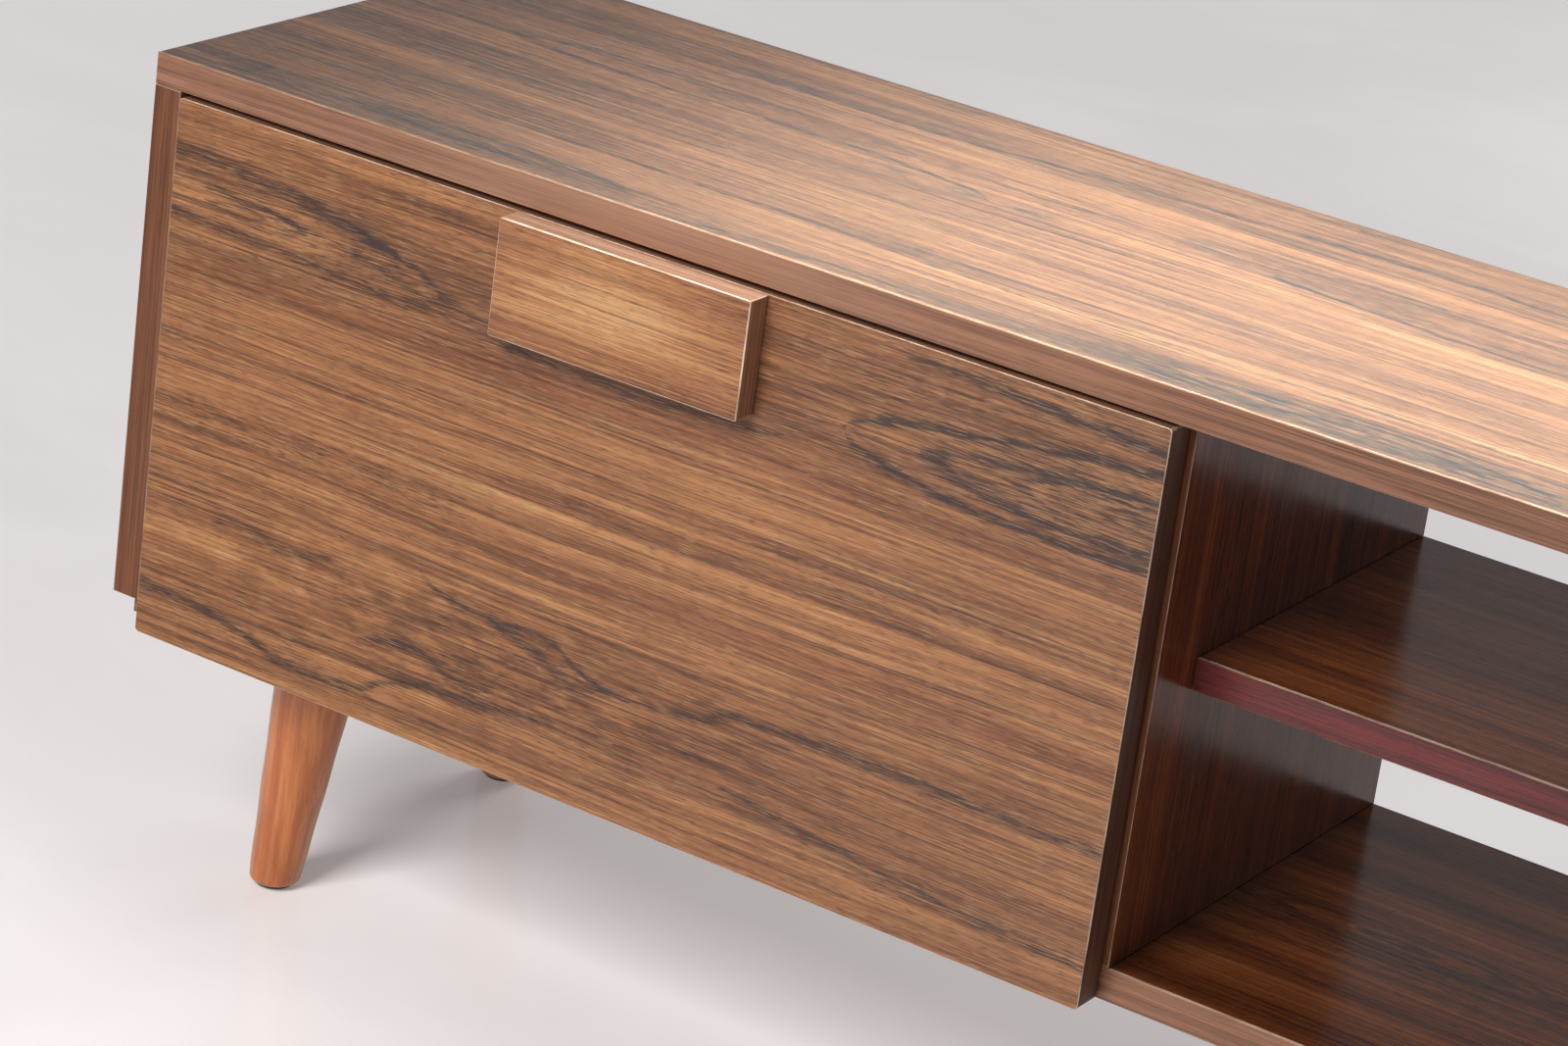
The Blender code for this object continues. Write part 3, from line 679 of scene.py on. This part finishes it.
# ======================================================================
# Hardboard, metal, plastic and solid wood
# ======================================================================
def hardboard():
    g = Graph("hardboard_print")
    felt = g.noise(g.x / 1.2, g.z / 1.2, g.y, detail=4.0, rough=0.6)
    cloud = g.noise(g.x / 90, g.z / 70, 2.0, detail=3.0)
    colour = g.mix(g.ramp(felt, 0.3, 0.7), "5C3F2C", "77563E")
    colour = g.mix(g.ramp(cloud, 0.35, 0.7) * 0.3, colour, "4A3223")
    return g.finish(colour, 0.72, normal=g.bump(felt, 0.35, 0.0003), spec=0.25)


def metal(name, base, rough, stretch=1.0):
    """Metal brushed along X; a smaller stretch draws the brush marks out."""
    g = Graph(name)
    brush = g.noise(g.x / 9 * stretch, g.z / 0.12, g.y / 0.9, rough=0.6)
    stain = g.solid(14, 14, 14, detail=3.0)
    colour = g.mix(g.ramp(brush, 0.3, 0.7) * 0.25, base, "8C8A86")
    colour = g.mix(g.ramp(stain, 0.5, 0.8) * 0.12, colour, "6E6A60")
    stained_rough = g.ramp(stain, 0.3, 0.7, rough - 0.02, rough + 0.05)
    return g.finish(colour, stained_rough, metal=1.0, normal=g.bump(brush, 0.06, 0.00005))


def nylon():
    g = Graph("nylon_look")
    skin = g.solid(0.5, 0.5, 0.5)
    colour = g.mix(g.ramp(skin, 0.3, 0.7), "2B2420", "3A322C")
    return g.finish(colour, 0.48, normal=g.bump(skin, 0.2, 0.00005))


def beech():
    g = Graph("beech_look")
    ray = g.solid(12, 0.8, 0.8)
    return g.finish(g.mix(g.ramp(ray, 0.3, 0.7), "B98C5E", "D2AA7C"), 0.6)


def stained_leg():
    """Stained, lacquered wood with its grain along Z."""
    g = Graph("stained_leg_look")
    wander = (g.solid(16, 16, 240, detail=3.0) - 0.5) * 18.0
    streak = g.ramp(g.noise((g.x + wander) / 3.2, (g.y + wander) / 3.2, g.z / 150,
                            detail=3.0, rough=0.6), 0.3, 0.7)
    rays = g.ramp(g.solid(0.8, 0.8, 9), 0.56, 0.70)
    colour = g.mix(streak, "AA5A28", "C5783E")
    colour = g.mix(rays * 0.35, colour, "823F1C")
    colour = g.mix(g.ramp(g.solid(24, 24, 40), 0.45, 0.75) * 0.4, colour, "914A20")
    return g.finish(colour, 0.34, normal=g.bump(streak * 0.4 - rays, 0.08, 0.0001),
                    coat=0.35, coat_rough=0.18)


HARDBOARD = hardboard()
for side, _ in SIDES:
    put("back_" + side, HARDBOARD)

ZINC = metal("zinc_steel_look", "C9C9C6", rough=0.30)
NICKEL = metal("nickel_look", "D2CFC8", rough=0.34)
FITTING_LOOKS = (                            # starts of piece names, material
    (("leg_plate", "leg_bolt", "handle_screw", "catch_strike", "stay_"), ZINC),
    (("hinge_",), NICKEL),
    (("leg_glide", "catch_magnet"), nylon()),
    (("shelf_dowel",), beech()),
)
for piece_name in NODES:
    for starts, look in FITTING_LOOKS:
        if piece_name.startswith(starts):
            put(piece_name, look)
LEG = stained_leg()


# ======================================================================
# Mesh helpers for the extra pieces
# ======================================================================
def new_piece(name, bm, mat, body, smooth=35):
    """Turn a mesh in mm into an object. Edges over `smooth` degrees stay sharp;
    None shades it flat."""
    bmesh.ops.recalc_face_normals(bm, faces=bm.faces)
    bmesh.ops.transform(bm, matrix=Matrix.Scale(MM, 4), verts=bm.verts)
    mesh = bpy.data.meshes.new(name)
    bm.to_mesh(mesh)
    bm.free()
    mesh.materials.append(mat)
    obj = bpy.data.objects.new(name, mesh)
    bpy.context.scene.collection.objects.link(obj)
    if smooth is not None:
        mesh.shade_smooth()
        mesh.set_sharp_from_angle(angle=math.radians(smooth))
    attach(obj, body)
    return obj


def box_mm(name):
    return [corner * 1000.0 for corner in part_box(name)]


def placer(bm, centre, axis, turn=0.0):
    """A function that adds a vertex at (a, b) across the axis and h along it."""
    centre = Vector(centre)
    direction = Vector(axis).normalized()
    side = direction.orthogonal().normalized()
    other = direction.cross(side)
    cos, sin = math.cos(turn), math.sin(turn)
    side, other = side * cos + other * sin, other * cos - side * sin
    return lambda a, b, h: bm.verts.new(centre + side * a + other * b + direction * h)


def turned(bm, at, profile, count, cap_end=True):
    """A round skin through (height, radius) stations; returns its rings."""
    angles = [2 * math.pi * i / count for i in range(count)]
    loops = [[at(r * math.cos(t), r * math.sin(t), h) for t in angles] for h, r in profile]
    bm.faces.new(list(reversed(loops[0])))
    if cap_end:
        bm.faces.new(loops[-1])
    for low, high in zip(loops, loops[1:]):
        for i in range(count):
            j = (i + 1) % count
            bm.faces.new((low[i], low[j], high[j], high[i]))
    return loops


def screw_head(bm, centre, axis, radius, height, turn, flush=False):
    """A pan head, or a countersunk one if flush, with a cross recess cut in."""
    at = placer(bm, centre, axis, turn)
    count = 48
    if flush:                                # a cone below the face
        profile = ((-1.15, radius * 0.5), (0.0, radius), (height, radius * 0.97))
        recess = 0.9
    else:
        profile = ((0.0, radius), (height * 0.3, radius), (height * 0.62, radius * 0.93),
                   (height * 0.9, radius * 0.78))
        recess = max(0.9, radius * 0.35)
    outer = turned(bm, at, profile, count, cap_end=False)[-1]
    w, l = radius * 0.13, radius * 0.56      # half width and reach of the cross
    cross = ((l, -w), (l, w), (w, w), (w, l), (-w, l), (-w, w),
             (-l, w), (-l, -w), (-w, -w), (-w, -l), (w, -l), (w, -w))
    rim = [at(a, b, height) for a, b in cross]

    def nearest(a, b):
        """The outer vertex at the nearest angle."""
        t = math.atan2(b, a) % (2 * math.pi)
        return min(range(count), key=lambda k: abs(
            ((2 * math.pi * k / count) - t + math.pi) % (2 * math.pi) - math.pi))

    partners = [nearest(a, b) for a, b in cross]
    for i in range(12):
        j = (i + 1) % 12
        start, steps = partners[i], (partners[j] - partners[i]) % count
        arc = [outer[(start + k) % count] for k in range(steps + 1)]
        bm.faces.new([rim[i], *arc, rim[j]])
    floor_ring = [at(a * 0.85, b * 0.85, height - recess) for a, b in cross]
    for i in range(12):
        j = (i + 1) % 12
        bm.faces.new((rim[i], rim[j], floor_ring[j], floor_ring[i]))
    bm.faces.new(floor_ring)


def bevelled_box(bm, xs, ys, zs, bevel):
    verts = [bm.verts.new((x, y, z)) for x in sorted(xs) for y in ys for z in zs]
    corners = ((0, 1, 3, 2), (4, 6, 7, 5), (0, 4, 5, 1), (2, 3, 7, 6), (0, 2, 6, 4), (1, 5, 7, 3))
    faces = [bm.faces.new([verts[i] for i in quad]) for quad in corners]
    edges = {e for f in faces for e in f.edges}
    bmesh.ops.bevel(bm, geom=list(edges), offset=bevel, segments=2, profile=0.5, affect="EDGES")


# ======================================================================
# Legs: smooth turned legs in place of the faceted solids
# ======================================================================
LEG_FLOOR_RADIUS = 12.3      # radius at z = 0
LEG_TAPER = 8.7              # gain in radius up to the underside
FOOT_ROUND, HEAD_ROUND = 3.2, 1.2
LEG_SEGMENTS = 96


def leg_axis(name):
    """Foot centre and head centre of a leg, in mm, from its CAD solid."""
    verts = [v.co * 1000.0 for v in NODES[name].data.vertices]
    ends = []
    for level in (min(v.z for v in verts), max(v.z for v in verts)):
        ring = [v for v in verts if abs(v.z - level) < 0.05]
        xs, ys = [v.x for v in ring], [v.y for v in ring]
        ends.append(Vector(((min(xs) + max(xs)) / 2, (min(ys) + max(ys)) / 2, level)))
    return ends


def leg_radius(z):
    return LEG_FLOOR_RADIUS + LEG_TAPER * z / UNDERSIDE_Z


def turned_leg(name):
    foot, head = leg_axis(name)
    span = head.z - foot.z
    slope = (head - foot) / span
    bm = bmesh.new()

    def at(a, b, z):
        middle = foot + slope * (z - foot.z)
        return bm.verts.new((middle.x + a, middle.y + b, z))

    profile = []
    for k in range(9):                       # rounded foot
        t = math.radians(90.0 * k / 8)
        profile.append((foot.z + FOOT_ROUND * (1 - math.cos(t)),
                        leg_radius(foot.z) - FOOT_ROUND * (1 - math.sin(t)) + 0.1))
    for k in range(1, 24):                   # shaft, very slightly uneven
        z = foot.z + FOOT_ROUND + (span - FOOT_ROUND - HEAD_ROUND) * k / 24.0
        profile.append((z, leg_radius(z) + 0.12 * math.sin(k * 0.8)))
    for k in range(5):                       # eased head
        t = math.radians(90.0 * k / 4)
        profile.append((head.z - HEAD_ROUND + HEAD_ROUND * math.sin(t),
                        leg_radius(head.z) - HEAD_ROUND * (1 - math.cos(t)) - 0.1))
    turned(bm, at, profile, LEG_SEGMENTS)
    piece = new_piece("turned_" + name, bm, LEG, "cabinet", smooth=40)
    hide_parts(name)


CORNERS = ["%s_%s" % (place, side) for place in ("front", "rear") for side, _ in SIDES]
for corner in CORNERS:
    turned_leg("leg_" + corner)

# ======================================================================
# Small fixings that show from behind, below or inside
# ======================================================================
PLATE_SCREW_OFFSET = 24.0    # from the plate's middle, both ways
# height above the face, radius
NAIL_PROFILE = ((0.0, 1.9), (0.25, 1.9), (0.5, 1.5), (0.6, 0.8))
# y and z from the middle of the stay bracket
BRACKET_SCREWS = ((-8.0, 17.0), (9.0, -17.0), (-8.0, -19.0))
LEAF_SCREW_Z = 133.0
LEAF_SCREW_RISE = 0.4        # from the leaf's mounting plane to the screw's rim


def zinc_piece(name, bm, body="cabinet", smooth=35):
    new_piece(name, bm, ZINC, body, smooth)


def plate_screws(corner):
    low, high = box_mm("leg_plate_" + corner)
    bm = bmesh.new()
    for k, (x_way, y_way) in enumerate(((-1, -1), (1, -1), (-1, 1), (1, 1))):
        centre = ((low.x + high.x) / 2 + x_way * PLATE_SCREW_OFFSET,
                  (low.y + high.y) / 2 + y_way * PLATE_SCREW_OFFSET, low.z - 0.05)
        screw_head(bm, centre, (0, 0, -1), radius=4.1, height=2.2, turn=0.4 + k * 0.7)
    zinc_piece("plate_screws_" + corner, bm)


def back_nails(side):
    """Nails round the hardboard back."""
    low, high = box_mm("back_" + side)
    spots = [(low.x + 10 + (high.x - low.x - 20) * i / 6, z)
             for z in (low.z + 7.0, high.z - 7.0) for i in range(7)]
    spots += [(x, low.z + (high.z - low.z) * i / 4)
              for x in (low.x + 7.0, high.x - 7.0) for i in (1, 2, 3)]
    bm = bmesh.new()
    for x, z in spots:
        turned(bm, placer(bm, (x, high.y + 0.02, z), (0, 1, 0)), NAIL_PROFILE, 16)
    zinc_piece("back_nails_" + side, bm)


def catch_poles(side):
    """Pole plates of the magnetic catch."""
    low, high = box_mm("catch_magnet_" + side)
    bm = bmesh.new()
    for dz in (3.2, 7.4):
        bevelled_box(bm, (low.x + 5, high.x - 5), (low.y - 0.18, low.y + 1.2),
                     (low.z + dz, low.z + dz + 1.6), bevel=0.15)
    zinc_piece("catch_poles_" + side, bm, smooth=None)


def stay_screws(side, sign):
    """Countersunk screws in the stay's bracket, pan heads in its foot."""
    low, high = box_mm("stay_bracket_" + side)
    bm = bmesh.new()
    for dy, dz in BRACKET_SCREWS:
        centre = (sign * (SIDE_INNER_X - 1.3), (low.y + high.y) / 2 + dy,
                  (low.z + high.z) / 2 + dz)
        screw_head(bm, centre, (-sign, 0, 0), radius=3.1, height=0.45, turn=dz, flush=True)
    zinc_piece("bracket_screws_" + side, bm)
    low, high = box_mm("stay_foot_" + side)
    bm = bmesh.new()
    for dz in (-9.0, 9.0):
        centre = (sign * (SIDE_INNER_X - 17.5), FLAP_REAR_Y + 1.45, (low.z + high.z) / 2 + dz)
        screw_head(bm, centre, (0, 1, 0), radius=3.3, height=1.5, turn=dz)
    zinc_piece("foot_screws_" + side, bm, "flap_" + side)


def leaf_screws(side, leaf, body, plane_y, way):
    """Countersunk screws along a hinge leaf, facing `way` along Y."""
    low, high = box_mm("hinge_leaf_%s_%s" % (leaf, side))
    bm = bmesh.new()
    for i in range(9):
        centre = (low.x + 18 + (high.x - low.x - 36) * i / 8,
                  plane_y + way * LEAF_SCREW_RISE, LEAF_SCREW_Z)
        screw_head(bm, centre, (0, way, 0), radius=2.3, height=0.2, turn=0.5 * i, flush=True)
    new_piece("leaf_screws_%s_%s" % (leaf, side), bm, NICKEL, body)


def carcass_screws():
    """Screws up through the bottom board into sides and dividers."""
    side_x = SIDE_INNER_X + BOARD_THICKNESS / 2
    bm = bmesh.new()
    for x in (-side_x, -DIVIDER_X, DIVIDER_X, side_x):
        for y in (-70.0, 14.0, 96.0):
            screw_head(bm, (x, y, UNDERSIDE_Z + 0.15), (0, 0, -1), radius=3.6, height=0.35,
                       turn=x + y, flush=True)
    zinc_piece("carcass_screws", bm)


for corner in CORNERS:
    plate_screws(corner)
for side, sign in SIDES:
    back_nails(side)
    catch_poles(side)
    stay_screws(side, sign)
    leaf_screws(side, "moving", "flap_" + side, FLAP_REAR_Y, 1)
    leaf_screws(side, "fixed", "cabinet", FIXED_LEAF_Y, -1)
carcass_screws()


# ======================================================================
# Stage: floor, light and camera
# ======================================================================
def floor_look():
    g = Graph("floor_look")
    cloud = g.noise(g.x / 420, g.y / 300, 1.0, detail=4.0, rough=0.55, distort=0.6)
    colour = g.mix(g.ramp(cloud, 0.35, 0.75), "EAE6E6", "F3EFEF")
    # painted light: the floor glows faintly behind and to the left, along the front, and in a
    # patch behind the cabinet where its shadow falls
    behind = g.ramp(g.x, -900, -2100, 0.14, 0.30) * g.ramp(g.y, 400, 1900, 1.0, 0.85)
    front = g.ramp(g.y, -70, -240, 0.0, 0.17) * g.ramp(g.y, -1000, -520, 0.25, 1.0) \
        * g.ramp(g.x, 300, -150, 0.25, 1.0)
    patch = g.blob(g.x, g.y, centre_u=-330, centre_v=440, reach_u=320, reach_v=300) * 0.30
    return g.finish(colour, g.ramp(cloud, 0.3, 0.7, 0.16, 0.24), spec=0.32,
                    glow=("FFFCFD", behind + front + patch))


def build_floor():
    look = floor_look()
    z = -0.0004
    bm = bmesh.new()
    bm.faces.new([bm.verts.new(p) for p in ((-14, -8, z), (12, -8, z), (12, 16, z), (-14, 16, z))])
    mesh = bpy.data.meshes.new("floor")
    bm.to_mesh(mesh)
    bm.free()
    mesh.materials.append(look)
    obj = bpy.data.objects.new("floor", mesh)
    bpy.context.scene.collection.objects.link(obj)
    return obj


def build_world():
    """Brighter towards +Y; the camera itself sees an even pale grey."""
    world = bpy.data.worlds.new("studio")
    bpy.context.scene.world = world
    world.use_nodes = True
    nodes, link = world.node_tree.nodes, world.node_tree.links.new
    nodes.clear()
    out = nodes.new("ShaderNodeOutputWorld")
    background = nodes.new("ShaderNodeBackground")
    background.inputs["Color"].default_value = (0.95, 0.965, 1.0, 1.0)
    coord = nodes.new("ShaderNodeTexCoord")
    split = nodes.new("ShaderNodeSeparateXYZ")
    fade = nodes.new("ShaderNodeMapRange")
    fade.interpolation_type = "SMOOTHSTEP"
    for key, number in (("From Min", 0.0), ("From Max", 0.9), ("To Min", 0.018), ("To Max", 0.36)):
        fade.inputs[key].default_value = number
    rays = nodes.new("ShaderNodeLightPath")
    choose = nodes.new("ShaderNodeMix")
    choose.data_type = "FLOAT"
    choose.inputs[3].default_value = 0.62    # what the camera sees
    link(coord.outputs["Generated"], split.inputs[0])
    link(split.outputs[1], fade.inputs["Value"])
    link(rays.outputs["Is Camera Ray"], choose.inputs[0])
    link(fade.outputs["Result"], choose.inputs[2])
    link(choose.outputs[0], background.inputs["Strength"])
    link(background.outputs[0], out.inputs["Surface"])


def softbox(name, place, target, width, height, power, colour):
    data = bpy.data.lights.new(name, "AREA")
    data.shape = "RECTANGLE"
    data.size = width
    data.size_y = height
    data.energy = power
    data.color = colour
    lamp = bpy.data.objects.new(name, data)
    bpy.context.scene.collection.objects.link(lamp)
    lamp.location = place
    aim = Vector(target) - Vector(place)
    lamp.rotation_euler = aim.to_track_quat("-Z", "Y").to_euler()
    return lamp


def build_lights(floor):
    front_white, warm_white = (1.0, 0.985, 0.965), (1.0, 0.985, 0.96)
    softbox("key", (-0.77, -2.38, 2.27), (-0.45, -0.1, 0.2), width=1.3, height=1.1, power=78,
            colour=front_white)
    softbox("low_fill", (-1.0, -3.2, 1.55), (-0.4, 0.0, 0.2), width=1.6, height=1.2, power=28,
            colour=front_white)
    rear = softbox("rear", (-0.25, 2.75, 1.45), (-0.1, 0.0, 0.4), width=1.3, height=0.8,
                   power=28, colour=warm_white)
    rear.visible_glossy = False              # or it shows as a patch on the floor
    over = softbox("over", (-0.05, 0.0, 1.0), (-0.05, 0.0, 0.4), width=1.05, height=0.3,
                   power=3.7, colour=warm_white)
    over.rotation_euler = (0.0, 0.0, 0.0)    # straight down, long side along X
    over.data.spread = math.radians(60.0)
    lit_by_over = bpy.data.collections.new("lit_by_over")      # all but the floor
    for obj in bpy.context.scene.objects:
        if obj.type == "MESH" and obj != floor:
            lit_by_over.objects.link(obj)
    over.light_linking.receiver_collection = lit_by_over


def build_camera():
    data = bpy.data.cameras.new("camera")
    data.sensor_width = 36.0
    data.sensor_fit = "HORIZONTAL"
    data.lens = 113.247
    data.clip_start = 0.05
    data.clip_end = 60.0
    camera = bpy.data.objects.new("camera", data)
    bpy.context.scene.collection.objects.link(camera)
    right = (0.8266232, 0.54855358, 0.12563063)
    up = (-0.29831936, 0.23784396, 0.92435697)
    back = (0.47717884, -0.80157297, 0.36025148)
    turn = Matrix((right, up, back)).transposed().to_4x4()
    camera.matrix_world = Matrix.Translation((0.577107, -1.829587, 1.059268)) @ turn
    bpy.context.scene.camera = camera


floor_object = build_floor()
build_world()
build_lights(floor_object)
build_camera()
view = bpy.context.scene.view_settings
view.view_transform = "Standard"
view.look = "None"
view.exposure = 0.0
